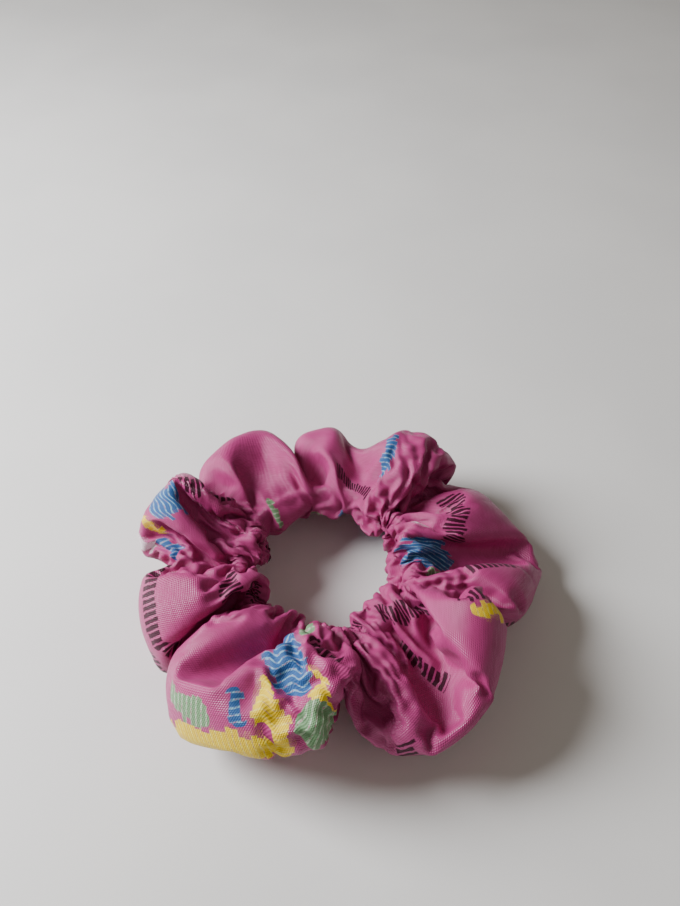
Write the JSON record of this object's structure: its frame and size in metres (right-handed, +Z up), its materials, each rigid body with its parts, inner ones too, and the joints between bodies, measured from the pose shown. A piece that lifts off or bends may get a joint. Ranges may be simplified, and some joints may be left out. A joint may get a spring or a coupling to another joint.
{
  "type": "scrunchie",
  "caption": "Gathered cloth hair ring sewn round a flat elastic loop; it stretches open to take a bunch of hair and draws back to hold it.",
  "frame": {"origin": "middle of the ring, on the surface that it lies on", "axes": "+Z up out of the surface, along the hole; +X to the right and +Y away from a viewer who looks down at the ring from the front"},
  "size_m": [0.1059, 0.1059, 0.033],
  "materials": {
    "cloth": "satin",
    "braid": "matte",
    "join_thread": "matte",
    "seam_thread": "satin"
  },
  "bodies": {
    "left_half": {"cover_left": "cloth", "elastic": "braid", "elastic_stitches": "join_thread", "tube_seam_thread": "seam_thread", "closing_seam_thread": "seam_thread"},
    "right_half": {"cover_right": "cloth"}
  },
  "joints": [
    {"name": "stretch", "type": "slide", "parent": "left_half", "child": "right_half", "axis": [1, 0, 0], "range_m": [0, 0.055], "stiffness_N_per_m": 120, "deforming": ["elastic", "tube_seam_thread"]}
  ]
}
